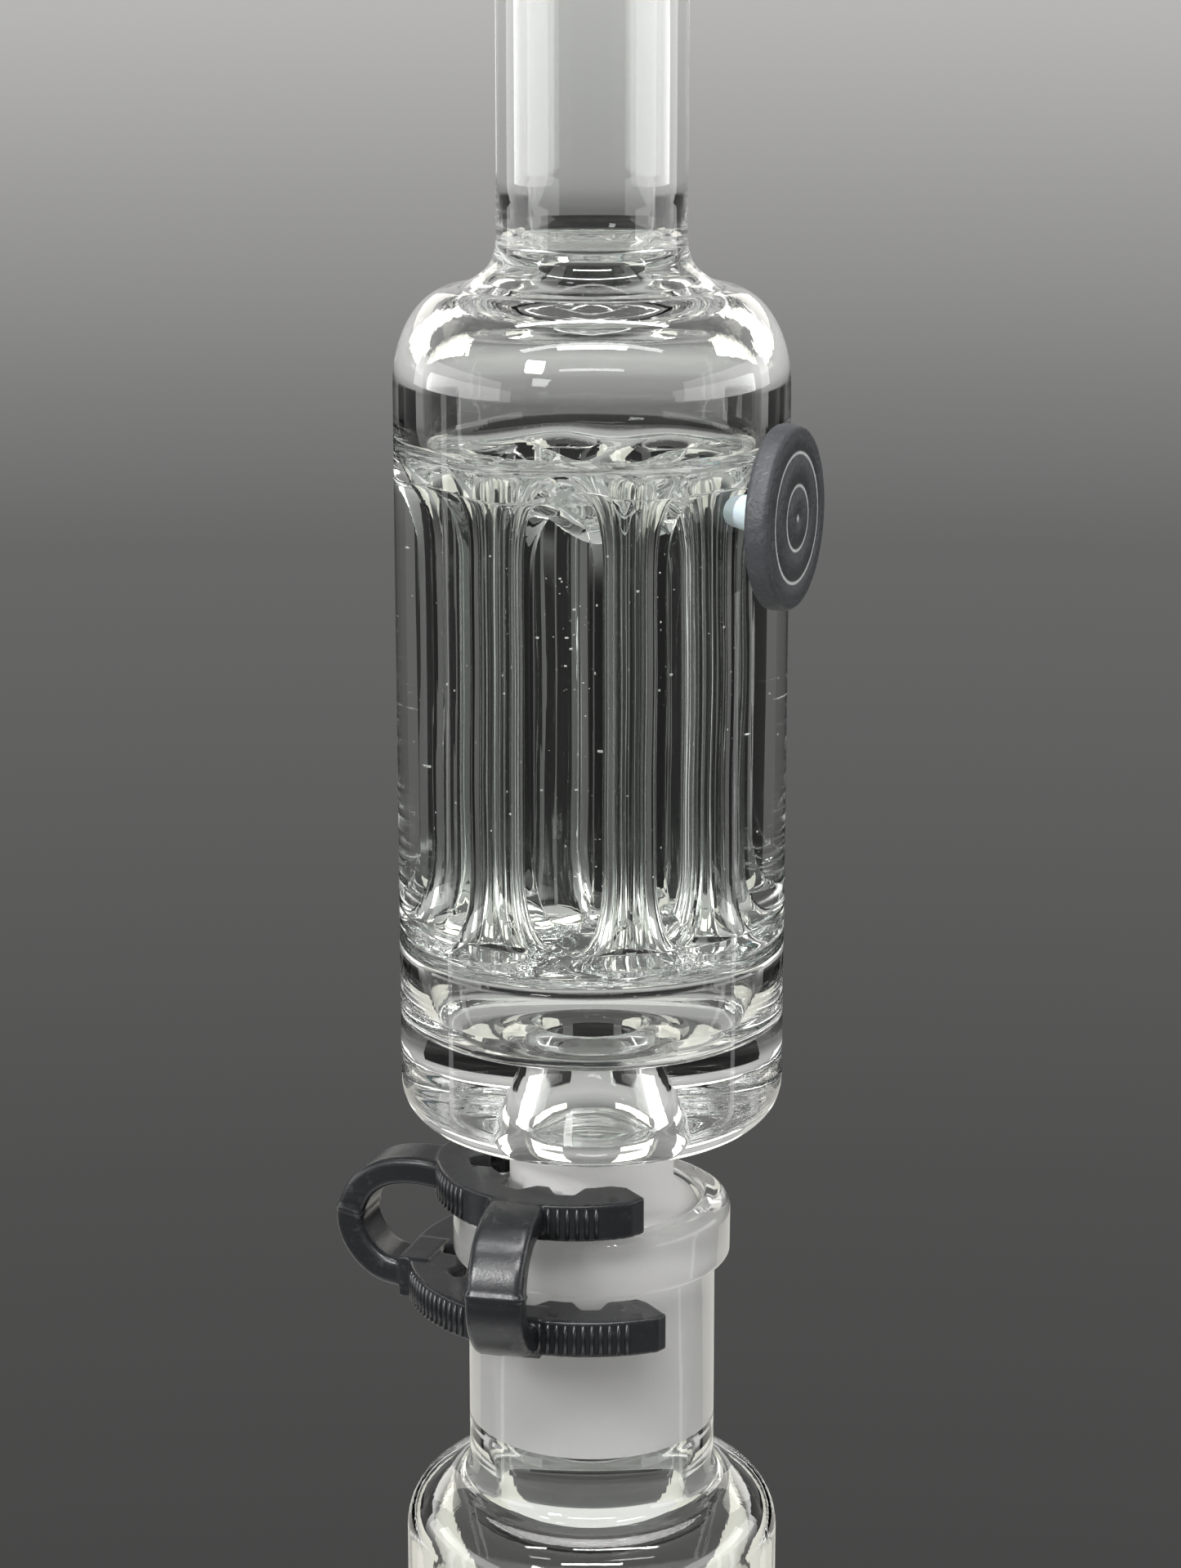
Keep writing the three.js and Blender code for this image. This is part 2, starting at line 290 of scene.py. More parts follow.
class Shader(Nodes):
    """A material whose surface is one Principled BSDF, with constants on its own sockets."""

    def __init__(self, name, **constants):
        self.material = bpy.data.materials.new(name)
        self.material.use_nodes = True
        super().__init__(self.material.node_tree)
        self.surface = self.tree.nodes["Principled BSDF"]
        for socket, value in constants.items():
            self.surface.inputs[socket.replace("_", " ")].default_value = value

    def set(self, socket, value):
        self.feed(self.surface.inputs[socket], value)

    def place(self, scale=(1, 1, 1), rotation=(0, 0, 0), location=(0, 0, 0)):
        """Object coordinates, in metres, scaled, turned and moved."""
        where = self.node("ShaderNodeTexCoord")[3]
        sockets = {"Vector": where, "Location": location, "Rotation": rotation, "Scale": scale}
        return self.node("ShaderNodeMapping", None, sockets)[0]

    def noise(self, vector, scale, detail=3.0, roughness=0.5):
        sockets = {"Vector": vector, "Scale": scale, "Detail": detail, "Roughness": roughness}
        return self.node("ShaderNodeTexNoise", None, sockets)[0]

    def mix(self, factor, first, second):
        """A colour between two, which are colour fields or three numbers each."""
        first, second = (v if isinstance(v, Field) else (*v, 1) for v in (first, second))
        return self.node("ShaderNodeMix", {"data_type": "RGBA"}, {0: factor, 6: first, 7: second})[2]

    def bump(self, height, distance, strength=1.0):
        sockets = {"Height": height, "Distance": distance, "Strength": strength}
        self.set("Normal", self.node("ShaderNodeBump", None, sockets)[0])


# ------------------------------------------------------------------ materials
def clear_glass():
    shader = Shader("clear_glass", Transmission_Weight=1.0, IOR=1.47)
    where = shader.place()
    tint = shader.noise(where, 40, 2)
    shader.set("Base Color", shader.mix(tint, (0.966, 0.984, 0.962), (0.986, 0.991, 0.981)))
    smudge = shader.noise(where, 90, 4).smoothed(0.62, 0.8)
    shader.set("Roughness", smudge * 0.03)
    drawn = shader.noise(shader.place(scale=(1, 1, 0.012)), 900, 2)  # faint upright lines
    shader.bump(drawn, 0.012 * MM, 0.8)
    return shader.material


def ground_glass():
    shader = Shader("ground_glass", Transmission_Weight=0.15, IOR=1.47)
    where = shader.place()
    cloud = shader.noise(where, 60, 4)
    shader.set("Base Color", shader.mix(cloud, (0.90, 0.885, 0.875), (0.96, 0.95, 0.94)))
    lines = shader.noise(shader.place(scale=(1, 1, 14)), 260, 3)
    shader.set("Roughness", 0.5 + lines * 0.2)
    shader.bump(shader.noise(where, 5000, 2), 0.02 * MM, 0.5)
    return shader.material


def inner_medium(name, ior, colour):
    """A clear medium inside the glass, whose index is stated relative to the glass round it."""
    shader = Shader(name)
    tree = shader.tree
    output = next(n for n in tree.nodes if n.type == "OUTPUT_MATERIAL")
    tree.nodes.remove(shader.surface)
    tint = shader.noise(shader.place(), 50, 2)
    darker = tuple(c * 0.985 for c in colour)
    sockets = {"Color": shader.mix(tint, colour, darker), "Roughness": 0.0, "IOR": ior}
    glass = shader.node("ShaderNodeBsdfGlass", None, sockets)[0]
    tree.links.new(glass.socket, output.inputs["Surface"])
    return shader.material


def black_plastic():
    shader = Shader("black_plastic", IOR=1.49)
    where = shader.place()
    cloud = shader.noise(where, 130, 4)
    dust = shader.noise(where, 700, 3).smoothed(0.6, 0.75)
    base = shader.mix(cloud, (0.009, 0.0095, 0.011), (0.017, 0.018, 0.020))
    shader.set("Base Color", shader.mix(dust * 0.5, base, (0.05, 0.05, 0.052)))
    scuff = shader.noise(shader.place(scale=(1, 1, 6), rotation=(0.5, 0.2, 0)), 220, 4).smoothed(0.5, 0.8)
    shader.set("Roughness", 0.22 + cloud * 0.12 + scuff * 0.12)
    grain = shader.noise(where, 2600, 2) + shader.noise(where, 350, 2)
    shader.bump(grain, 0.03 * MM, 0.6)
    return shader.material


def pale_silicone():
    shader = Shader("pale_silicone", Subsurface_Weight=0.3, Subsurface_Scale=1.5 * MM, IOR=1.41)
    where = shader.place()
    cloud = shader.noise(where, 200, 3)
    shader.set("Base Color", shader.mix(cloud, (0.52, 0.63, 0.68), (0.68, 0.78, 0.81)))
    shader.set("Roughness", 0.3 + cloud * 0.2)
    shader.bump(shader.noise(where, 900, 2), 0.03 * MM, 0.4)
    return shader.material


# ------------------------------------------------------------------ the condenser's glass
def funnel_drop(distance, bore, rim, depth):
    """How far a flared tube end lies below the sheet's face, at a distance from the tube's axis."""
    t = min(max((distance - bore) / (rim - bore), 0), 1)
    if t < 0.002:
        return depth
    return depth * (1 - math.sqrt(max(1 - (1 - t) ** 2, 0)))


class Face:
    """One face of a tube sheet: flared holes, a dished middle, soft waves and a fillet at the edge."""

    def __init__(self, z, up, edge_r, bore, rim, depth, dish, fillet, relief):
        self.z = z
        self.relief = relief
        self.sign = 1 if up else -1
        self.edge_r = edge_r
        self.bore = bore
        self.rim = rim
        self.depth = depth
        self.dish = dish
        self.fillet = fillet

    def height(self, x, y):
        spot = Vector((x, y))
        r = spot.length
        drop = max(funnel_drop((spot - c).length, self.bore, self.rim, self.depth) for c in TUBES)
        radius = abs(self.fillet)
        at_edge = r > self.edge_r * 0.99999  # within rounding, so that the edge welds to the wall
        climb = radius if at_edge else max(r - (self.edge_r - radius), 0)
        rise = math.copysign(radius - math.sqrt(max(radius**2 - climb**2, 0)), self.fillet)
        middle = self.dish * math.exp(-((r / DISH_SPREAD) ** 2))
        calm = 1 - min(r / self.edge_r, 1) ** 4
        wave = self.relief * calm * noise.noise(Vector((x, y, self.z)) / WAVE_SIZE)
        return self.z + self.sign * (rise + wave - middle - drop)

    def edge_z(self):
        return self.z + self.sign * self.fillet

    def hole(self, centre):
        return [Vector((p.x, p.y, self.height(p.x, p.y))) for p in circle(centre, self.bore, TUBE_SIDES)]

    def add_to(self, shape):
        """Adds the face, with rings near its edge and round its holes, and an even spread between."""
        middle = Vector((0, 0))
        points = [p for r in (1, 0.992, 0.975, 0.95, 0.92) for p in circle(middle, self.edge_r * r, TURNS)]
        flare_rings = 13
        for centre in TUBES:
            others = [c for c in TUBES if c is not centre]
            for i in range(flare_rings + 1):
                r = self.bore + (self.rim - self.bore) * (i / flare_rings) ** 1.7
                ring = circle(centre, r, TUBE_SIDES)
                points += [p for p in ring if all((p - c).length > self.bore * 1.02 for c in others)]
        pitch = 0.65 * MM
        steps = int(self.edge_r / pitch) + 1
        for i in range(-steps, steps + 1):
            for j in range(-steps, steps + 1):
                spot = Vector(((i + 0.5 * (j % 2)) * pitch, j * pitch * 0.866))
                clear = min((spot - c).length for c in TUBES) > self.rim + 0.35 * MM
                if clear and spot.length < self.edge_r * 0.9:
                    points.append(spot)
        flat, _, triangles, *_ = geometry.delaunay_2d_cdt(points, [], [], 0, 1e-7)
        kept = []
        for triangle in triangles:
            centroid = sum((flat[i] for i in triangle), Vector((0, 0))) / 3
            if all((centroid - c).length > self.bore * 0.999 for c in TUBES):
                kept.append(triangle)
        shape.faces([(p.x, p.y, self.height(p.x, p.y)) for p in flat], kept)


def circle(centre, r, sides):
    turns = [math.tau * i / sides for i in range(sides)]
    return [Vector((centre.x + r * math.cos(a), centre.y + r * math.sin(a))) for a in turns]


def tube_wall(shape, centre, lower, upper):
    """The wall of one hole from the lower face to the upper one, swaying a little on the way."""
    steps = 48
    pairs = list(zip(lower.hole(centre), upper.hole(centre)))
    rings = []
    for i in range(steps + 1):
        t = i / steps
        ease = math.sin(math.pi * t)
        level = lower.z + (upper.z - lower.z) * t
        shift = wander(Vector((centre.x, centre.y, level)) / (45 * MM)) * TUBE_SWAY * ease
        swell = 1 + 0.05 * ease * noise.noise(Vector((centre.y, centre.x, level)) / (30 * MM))
        middle = Vector((centre.x, centre.y, 0))
        ring = []
        for low, high in pairs:
            p = low.lerp(high, t)
            out = Vector((p.x, p.y, 0)) - middle
            ring.append(middle + shift + out * swell + Vector((0, 0, p.z)))
        rings.append(ring)
    shape.strip(rings)


def condenser_profile(upper_face, lower_face):
    """The turned outline, up inside, over the mouth, down outside, and up inside to the lower sheet."""
    dome_z = top("jacket_shell") - 18.2 * MM
    shell_top = top("jacket_shell")
    mouth = top("neck_tube")
    lip_r = outside("neck_tube")
    base_z = bottom("jacket_base")
    cone_bottom = bottom("ground_cone")
    cone_top = base_z - 12.4 * MM
    cone_end = CONE_R - TAPER * (cone_top - cone_bottom)
    inside_up = [
        (INNER_R, upper_face.edge_z()),
        (INNER_R, dome_z - 4 * MM),
        *arc(14.5 * MM, dome_z, INNER_R - 14.5 * MM, 9 * MM, 0, 82, 14),
        *smooth_line(
            [
                (11.4 * MM, dome_z + 9.6 * MM),
                (9.0 * MM, dome_z + 11.4 * MM),
                (THROAT_R, dome_z + 13.8 * MM),
                (8.3 * MM, dome_z + 16 * MM),
                (9.6 * MM, dome_z + 18 * MM),
                (NECK_BORE, dome_z + 20.5 * MM),
            ]
        ),
        *[(NECK_BORE, shell_top + (mouth - shell_top) * t) for t in (0.1, 0.25, 0.5, 0.75, 0.97)],
    ]
    mouth_rim = [
        *arc(NECK_BORE + 1 * MM, mouth - 1.4 * MM, 1 * MM, 1.4 * MM, 180, 90, 6),
        *arc(lip_r - 1.9 * MM, mouth - 1.9 * MM, 1.9 * MM, 1.9 * MM, 90, -30, 10),
        *smooth_line(
            [
                (13.2 * MM, mouth - 3.4 * MM),
                (12.6 * MM, mouth - 5 * MM),
                (NECK_R, mouth - 7.5 * MM),
            ],
            4,
        ),
    ]
    outside_down = [
        *[(NECK_R, mouth + (shell_top - mouth) * t) for t in (0.2, 0.4, 0.6, 0.8, 0.93)],
        *smooth_line(
            [
                (NECK_R, shell_top + 0.6 * MM),
                (NECK_R + 0.3 * MM, shell_top - 1.1 * MM),
                (13.6 * MM, shell_top - 3 * MM),
                (15.6 * MM, shell_top - 4.6 * MM),
                (17.6 * MM, shell_top - 5.4 * MM),
            ]
        ),
        *arc(17.5 * MM, dome_z, BODY_R - 17.5 * MM, 12.8 * MM, 84, 0, 16),
        *[(BODY_R, dome_z + (base_z + 6.5 * MM - dome_z) * t) for t in (0.03, 0.2, 0.4, 0.6, 0.8, 0.97)],
        *arc(BODY_R - 6.5 * MM, base_z + 6.5 * MM, 6.5 * MM, 6.5 * MM, 0, -90, 14),
        (16 * MM, base_z),
        *arc(CONE_NECK_R + 2.4 * MM, base_z - 2.4 * MM, 2.4 * MM, 2.4 * MM, 90, 180, 8),
    ]
    neck = [(CONE_NECK_R, base_z - 3 * MM), (CONE_NECK_R, cone_top + 2.6 * MM)]
    cone = [
        *arc(CONE_R - 1.4 * MM, cone_top - 0.1 * MM, 1.4 * MM, 1.2 * MM, 88, 6, 6),
        (CONE_R, cone_top - 0.3 * MM),
        (cone_end, cone_bottom + 0.7 * MM),
    ]
    inside_cone = [
        *arc(cone_end - 0.8 * MM, cone_bottom + 0.8 * MM, 0.8 * MM, 0.8 * MM, -5, -90, 5),
        *arc(cone_end - 1.8 * MM, cone_bottom + 0.8 * MM, 0.7 * MM, 0.8 * MM, -90, -175, 5),
        *smooth_line(
            [
                (10.6 * MM, cone_bottom + 3 * MM),
                (11.5 * MM, cone_top - 4 * MM),
                (10.6 * MM, cone_top + 1 * MM),
                (9.2 * MM, base_z - 5 * MM),
                (9.0 * MM, base_z + 0.5 * MM),
                (7.8 * MM, base_z + 5 * MM),
                (6.7 * MM, FLOOR_Z - 4 * MM),
                (6.4 * MM, FLOOR_Z - 2 * MM),
            ]
        ),
        *arc(8.6 * MM, FLOOR_Z - 0.9 * MM, 2.1 * MM, 1.5 * MM, 172, 80, 7),
    ]
    floor = smooth_line(
        [
            (10.4 * MM, FLOOR_Z + 0.4 * MM),
            (12.4 * MM, FLOOR_Z - 0.5 * MM),
            (14.2 * MM, FLOOR_Z - 0.7 * MM),
            (16.5 * MM, FLOOR_Z - 0.1 * MM),
            (19.3 * MM, FLOOR_Z + 0.5 * MM),
            (21.2 * MM, FLOOR_Z + 1.9 * MM),
            (INNER_R, FLOOR_Z + 4.4 * MM),
        ]
    )
    inside_end = [(INNER_R, lower_face.edge_z())]
    clear = [*inside_up, *mouth_rim, *outside_down, *neck]
    profile = [*clear, *cone, *inside_cone, *floor, *inside_end]
    ground_from = len(clear) - len(neck)
    ground_to = len(clear) + len(cone) - 1
    slots = [1 if ground_from <= i < ground_to else 0 for i in range(len(profile) - 1)]
    return profile, slots


def air_faces():
    """The faces of the two tube sheets that air reaches."""
    flare = {"bore": TUBE_BORE, "rim": FUNNEL_R, "depth": FUNNEL_DEPTH}
    shared = {"edge_r": INNER_R, "fillet": AIR_FILLET, **flare}
    upper = Face(UPPER_SHEET_Z, True, **UPPER_RELIEF, **shared)
    lower = Face(LOWER_SHEET_Z, False, **LOWER_RELIEF, **shared)
    return upper, lower


def condenser_glass(clear, ground):
    """All of the condenser's fused glass, with its coolant space filled, as one closed skin."""
    upper, lower = air_faces()
    profile, slots = condenser_profile(upper, lower)
    shape = Shape()
    rings = []
    for r, z in profile:
        ring = [polar(r, math.tau * i / TURNS, z) for i in range(TURNS)]
        inner = r < INNER_R * 0.999 or z in (upper.edge_z(), lower.edge_z())
        plain = inner or abs(r - BODY_R) < 1e-6 or z < FLOOR_Z or z > UPPER_SHEET_Z + 9 * MM
        rings.append(ring if plain else [hand_drawn(p) for p in ring])
    shape.strip(rings, slots)
    upper.add_to(shape)
    lower.add_to(shape)
    for centre in TUBES:
        tube_wall(shape, centre, lower, upper)
    shells = ["neck_tube", "jacket_shell", "jacket_base", "joint_neck", "ground_cone"]
    nodes = [*shells, "upper_tube_sheet", "lower_tube_sheet", *TUBE_NODES]
    return shape.piece("condenser_glass", [clear, ground], "condenser", nodes)


def coolant(material):
    """The liquid round the tubes, a little inside the glass that holds it."""
    edge_r = INNER_R - 0.05 * MM
    flare = {"bore": TUBE_WALL_R, "rim": FUNNEL_R + WALL_OF_TUBE, "depth": 9.5 * MM}
    shared = {"edge_r": edge_r, "fillet": -LIQUID_FILLET, **flare}
    upper = Face(UPPER_SHEET_Z - SHEET_T, True, **UPPER_RELIEF, **shared)
    lower = Face(LOWER_SHEET_Z + SHEET_T, False, **LOWER_RELIEF, **shared)
    shape = Shape()
    upper.add_to(shape)
    lower.add_to(shape)
    levels = [lower.edge_z() + (upper.edge_z() - lower.edge_z()) * i / 12 for i in range(13)]
    shape.strip([[polar(edge_r, math.tau * i / TURNS, z) for i in range(TURNS)] for z in levels])
    for centre in TUBES:
        tube_wall(shape, centre, lower, upper)
    return shape.piece("coolant", [material], "condenser", ["coolant_fill"])


# ------------------------------------------------------------------ the receiver's glass
def receiver_glass(clear, ground):
    """Foot, wall, shoulder and socket as one closed skin of revolution, ground inside the socket."""
    foot_r = outside("receiver_foot")
    floor_z = top("receiver_foot")
    wall_top = bottom("receiver_shoulder")
    shoulder = top("receiver_shoulder")
    socket_top = top("ground_socket")
    collar_r = outside("ground_socket")
    collar_z = socket_top - 8.6 * MM
    mouth_r = CONE_R + 0.22 * MM
    ground_end = bottom("ground_cone")
    edge = 3 * MM
    below = [
        (0, 0.6 * MM),
        (foot_r - 9 * MM, 0.6 * MM),
        (foot_r - 7.5 * MM, 0),
        (foot_r - 4 * MM, 0),
        *arc(foot_r - edge, edge, edge, edge, -80, 90, 12),
        *smooth_line(
            [
                (foot_r - 7 * MM, 5.9 * MM),
                (BODY_R + 6 * MM, 6.2 * MM),
                (BODY_R + 2.4 * MM, 7.4 * MM),
                (BODY_R + 0.5 * MM, 9.6 * MM),
                (BODY_R, 13 * MM),
            ]
        ),
        *[(BODY_R, 13 * MM + (wall_top - 13 * MM) * t) for t in (0.2, 0.4, 0.6, 0.8)],
        *arc(BODY_R - 8 * MM, wall_top, 8 * MM, 8 * MM, 0, 78, 16),
        *smooth_line(
            [
                (18.6 * MM, shoulder + 0.15 * MM),
                (17.7 * MM, shoulder + 0.9 * MM),
                (17.2 * MM, shoulder + 2.4 * MM),
                (SOCKET_R, shoulder + 5 * MM),
            ]
        ),
        (SOCKET_R, (shoulder + collar_z) / 2),
        *arc(SOCKET_R + 0.6 * MM, collar_z - 0.6 * MM, 0.6 * MM, 0.6 * MM, 180, 100, 4),
        *arc(collar_r - 1.1 * MM, collar_z + 1.1 * MM, 1.1 * MM, 1.1 * MM, -85, 0, 7),
        *arc(collar_r - 2.2 * MM, socket_top - 2.2 * MM, 2.2 * MM, 2.2 * MM, 0, 90, 10),
        *arc(mouth_r + 1.1 * MM, socket_top - 1.1 * MM, 1.1 * MM, 1.1 * MM, 90, 180, 7),
    ]
    taper_end = mouth_r - TAPER * (socket_top - ground_end)
    ground_part = [(mouth_r - 0.02 * MM, socket_top - 1.8 * MM), (taper_end, ground_end)]
    inside = [
        *smooth_line(
            [
                (taper_end + 0.1 * MM, ground_end - 0.6 * MM),
                (13.7 * MM, ground_end - 3 * MM),
                (13.7 * MM, shoulder - 0.5 * MM),
                (14.6 * MM, shoulder - 3 * MM),
                (17 * MM, shoulder - 4 * MM),
            ]
        ),
        *arc(INNER_R - 4.5 * MM, wall_top - 0.5 * MM, 4.5 * MM, 4.5 * MM, 85, 0, 10),
        *[(INNER_R, wall_top + (floor_z + 6 * MM - wall_top) * t) for t in (0.2, 0.4, 0.6, 0.8)],
        *arc(INNER_R - 5 * MM, floor_z + 5 * MM, 5 * MM, 5 * MM, 0, -90, 10),
        (9 * MM, floor_z + 0.3 * MM),
        (0, floor_z + 0.5 * MM),
    ]
    profile = [*below, *ground_part, *inside]
    start = len(below)
    slots = [1 if i == start else 0 for i in range(len(profile) - 1)]
    shape = Shape()
    shape.turned(profile, slot=slots)
    nodes = ["receiver_foot", "receiver_wall", "receiver_shoulder", "ground_socket"]
    return shape.piece("receiver_glass", [clear, ground], "receiver", nodes)


# ------------------------------------------------------------------ the filling plug and its disc
PORT = joint_axis("stopper_pull")
PORT_TURN = math.atan2(PORT.y, PORT.x)
DISC_YAW = math.radians(20)


def facing(centre, turn):
    """Places a shape whose own axis is +Z so that the axis points outwards at that turn round the column."""
    return Matrix.Translation(centre) @ Matrix.Rotation(turn, 4, "Z") @ Matrix.Rotation(math.pi / 2, 4, "Y")


def disc_place():
    low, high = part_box("cap_disc")
    return facing((low + high) / 2, PORT_TURN + DISC_YAW)


DISC_R = (top("cap_disc") - bottom("cap_disc")) / 2
DISC_T = 3 * MM
RING_RADII = (4.1 * MM, 8.2 * MM)
RING_HALF = 0.3 * MM  # half the width of an engraved ring's floor
ENGRAVED = 0.12 * MM  # how deep it is cut, and how wide each of its flanks is
DISC_DOME = 0.3 * MM


def cap_disc(material):
    """A tumbled stone disc: soft uneven edges, a slightly domed face, and two engraved rings round a dot."""
    half = DISC_T / 2
    peak = half + DISC_DOME
    face = [(0, peak - ENGRAVED), (0.55 * MM, peak - ENGRAVED), (0.75 * MM, peak)]
    for ring in RING_RADII:
        dome = half + DISC_DOME * (1 - (ring / DISC_R) ** 2)
        face += [(ring - RING_HALF - ENGRAVED, dome), (ring - RING_HALF, dome - ENGRAVED)]
        face += [(ring + RING_HALF, dome - ENGRAVED), (ring + RING_HALF + ENGRAVED, dome)]
    edge = 0.75 * MM
    rim = arc(DISC_R - edge, half - edge, edge, edge, 90, 0, 6)
    back = arc(DISC_R - edge, -half + edge, edge, edge, 0, -90, 6)
    rings = [*face, (DISC_R - 1.6 * MM, half), *rim, *back, (DISC_R * 0.6, -half), (0, -half)]
    shape = Shape()
    shape.turned(rings, sides=144)
    for vert in shape.mesh.verts:
        r = math.hypot(vert.co.x, vert.co.y)
        worn = (r / DISC_R) ** 6
        bumps = noise.noise(vert.co / (2.2 * MM)) * 0.5 + noise.noise(vert.co / (0.7 * MM)) * 0.25
        inward = 1 - 0.016 * worn * abs(bumps)
        vert.co.x *= inward
        vert.co.y *= inward
        vert.co.z += 0.06 * MM * worn * bumps
        vert.co = disc_place() @ vert.co
    return shape.piece("slate_disc", [material], "stopper", ["cap_disc"])


def fill_plug(material):
    """A tapered plug through the jacket's wall, flaring where the disc is seated on it."""
    place = disc_place()
    back = place @ Vector((0, 0, -DISC_T / 2))
    normal = (place.to_3x3() @ Vector((0, 0, 1))).normalized()
    across = Vector((-PORT.y, PORT.x, 0))
    inner = INNER_R + 0.4 * MM
    profile = smooth_line(
        [
            (0.0, inner),
            (1.5 * MM, inner + 0.15 * MM),
            (1.95 * MM, inner + 0.9 * MM),
            (2.2 * MM, BODY_R - 0.2 * MM),
            (2.5 * MM, BODY_R + 1.2 * MM),
            (3.0 * MM, BODY_R + 3.2 * MM),
            (3.3 * MM, BODY_R + 9 * MM),
        ],
        5,
    )
    base = Vector((0, 0, (top("cap_disc") + bottom("cap_disc")) / 2))
    shape = Shape()
    sides = 48
    rings = []
    for r, out in profile:
        ring = []
        for i in range(sides):
            turn = math.tau * i / sides
            side = across * max(r, 1e-7) * math.cos(turn) + Vector((0, 0, max(r, 1e-7) * math.sin(turn)))
            spot = base + PORT * out + side
            beyond = (spot - back).dot(normal) + 0.15 * MM
            if beyond > 0:
                spot -= PORT * (beyond / PORT.dot(normal))
            ring.append(spot)
        rings.append(ring)
    middle = sum(rings[-1], Vector()) / sides
    rings.append([middle + (p - middle) * 1e-5 for p in rings[-1]])
    shape.strip(rings)
    return shape.piece("silicone_plug", [material], "stopper", ["fill_plug"])


# ------------------------------------------------------------------ the joint clip
CLIP_TURN = math.atan2(joint_axis("clip_pull").y, joint_axis("clip_pull").x) - math.pi
STRAP_TURN = math.radians(30)
STRAP_SPLAY = math.radians(18)
NOTCH_DEPTH = 2.6 * MM
NOTCH_WIDTH = 3.4 * MM
JAWS = {
    "clip_upper_jaw": {
        "inner": 12.1 * MM,
        "outer": 19.1 * MM,
        "shift": 2.4 * MM,
        "tip": 0.0,
        "notches": (126, 157),
        "ribs": ((112, 135), (150, 186), (225, 248)),
    },
    "clip_lower_jaw": {
        "inner": 17.5 * MM,
        "outer": 24.8 * MM,
        "shift": 0.6 * MM,
        "tip": -1.8 * MM,
        "notches": (119, 145, 171),
        "ribs": ((108, 135), (163, 197), (225, 252)),
    },
}


def jaw_outline(inner, outer, shift, tip, notches, ribs):
    """A half ring, closed towards -X, with notches in the inner edge of both arms. Angles are from +X."""

    def at(r, degrees):
        turn = math.radians(degrees)
        return (r * math.cos(turn), r * math.sin(turn))

    half = math.degrees(NOTCH_WIDTH / 2 / inner)
    flank = half * 0.4
    both = [*notches, *(360 - n for n in reversed(notches))]
    inside = [at(inner, 98)]
    for i, middle in enumerate(both):
        start = middle - half
        end = middle + half
        inside += [at(inner, start - flank), at(inner + NOTCH_DEPTH, start + flank)]
        inside += [at(inner + NOTCH_DEPTH, end - flank), at(inner, end + flank)]
        following = both[i + 1] - half - flank if i + 1 < len(both) else 262
        inside += [at(inner, end + flank + (following - end - flank) * t) for t in (0.25, 0.5, 0.75)]
    inside.append(at(inner, 262))
    outside_points = [at(outer, 98 + 164 * i / 60) for i in range(61)]
    chamfer = 1.6 * MM
    corner = 0.8 * MM
    near_tip = [(tip, inner + chamfer), (tip, outer - corner)]
    far_tip = [(tip, -outer + corner), (tip, -inner - chamfer)]
    points = [*near_tip, *outside_points, *far_tip, *reversed(inside)]
    return [(x - shift, y) for x, y in points]


def add_prism(shape, outline, low_z, high_z):
    count = len(outline)
    points = [(x, y, low_z) for x, y in outline] + [(x, y, high_z) for x, y in outline]
    sides = [[i, (i + 1) % count, (i + 1) % count + count, i + count] for i in range(count)]
    shape.faces(points, [list(reversed(range(count))), list(range(count, 2 * count)), *sides])


def strap_section(width, thick, corner):
    """A rounded rectangle, thickness along the first number and width along the second."""
    points = []
    for x, y, start in ((1, 1, 0), (-1, 1, 90), (-1, -1, 180), (1, -1, 270)):
        for i in range(5):
            turn = math.radians(start + 90 * i / 4)
            points.append(
                (
                    x * (thick / 2 - corner) + corner * math.cos(turn),
                    y * (width / 2 - corner) + corner * math.sin(turn),
                )
            )
    return points


def strap_place(side):
    """Turns a strap made along -X so that it leaves the jaws to one side of their back, and splays out."""
    pivot = JAWS["clip_upper_jaw"]["outer"]
    splayed = Matrix.Translation((-pivot, 0, 0)) @ Matrix.Rotation(side * STRAP_SPLAY, 4, "Z")
    return Matrix.Rotation(side * STRAP_TURN, 4, "Z") @ splayed @ Matrix.Translation((pivot, 0, 0))


